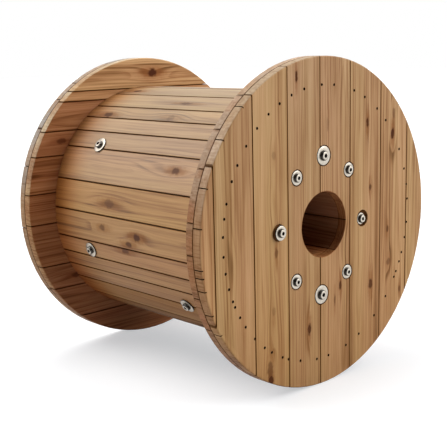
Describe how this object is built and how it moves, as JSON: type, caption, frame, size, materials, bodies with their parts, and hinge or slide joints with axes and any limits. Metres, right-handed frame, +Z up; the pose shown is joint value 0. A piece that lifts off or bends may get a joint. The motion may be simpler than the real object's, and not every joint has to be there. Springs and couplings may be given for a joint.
{
  "type": "wooden cable drum",
  "caption": "Wooden cable drum lying on the rims of its two round flanges, each of crossed boards, with a staved barrel between them, a round bore and tie bolts.",
  "frame": {"origin": "on the floor, under the middle of the drum as it lies on its rims", "axes": "+X along the drum's axis, towards the front flange's outer face; +Z up"},
  "size_m": [0.946, 1, 1],
  "materials": {
    "upright_boards": "bare planed softwood",
    "level_boards": "bare planed softwood",
    "barrel": "bare planed softwood",
    "bore_lining": "bare sawn softwood",
    "formers": "bare sawn softwood",
    "bolts": "dull zinc plate"
  },
  "bodies": {
    "root": {"back_inner_board_1": "level_boards", "back_inner_board_10": "level_boards", "back_inner_board_2": "level_boards", "back_inner_board_3": "level_boards", "back_inner_board_4": "level_boards", "back_inner_board_5_left": "level_boards", "back_inner_board_5_right": "level_boards", "back_inner_board_6": "level_boards", "back_inner_board_7": "level_boards", "back_inner_board_8": "level_boards", "back_inner_board_9": "level_boards", "back_outer_board_1": "upright_boards", "back_outer_board_2": "upright_boards", "back_outer_board_3": "upright_boards", "back_outer_board_4": "upright_boards", "back_outer_board_5": "upright_boards", "back_outer_board_6": "upright_boards", "back_outer_board_7": "upright_boards", "back_outer_board_8": "upright_boards", "barrel_bolt_back_1": "bolts", "barrel_bolt_back_2": "bolts", "barrel_bolt_back_3": "bolts", "barrel_bolt_front_1": "bolts", "barrel_bolt_front_2": "bolts", "barrel_bolt_front_3": "bolts", "barrel_staves": "barrel", "bore_stave_1": "bore_lining", "bore_stave_2": "bore_lining", "bore_stave_3": "bore_lining", "bore_stave_4": "bore_lining", "bore_stave_5": "bore_lining", "bore_stave_6": "bore_lining", "former_back": "formers", "former_front": "formers", "front_inner_board_1": "level_boards", "front_inner_board_2": "level_boards", "front_inner_board_3": "level_boards", "front_inner_board_4": "level_boards", "front_inner_board_5_left": "level_boards", "front_inner_board_5_right": "level_boards", "front_inner_board_6": "level_boards", "front_inner_board_7": "level_boards", "front_inner_board_8": "level_boards", "front_inner_board_9": "level_boards", "front_outer_board_1": "upright_boards", "front_outer_board_2": "upright_boards", "front_outer_board_3": "upright_boards", "front_outer_board_4": "upright_boards", "front_outer_board_5": "upright_boards", "front_outer_board_6": "upright_boards", "front_outer_board_7": "upright_boards", "front_outer_board_8": "upright_boards", "tie_bolt_bottom": "bolts", "tie_bolt_left": "bolts", "tie_bolt_lower_left": "bolts", "tie_bolt_lower_right": "bolts", "tie_bolt_right": "bolts", "tie_bolt_top": "bolts", "tie_bolt_upper_left": "bolts", "tie_bolt_upper_right": "bolts"}
  },
  "joints": []
}
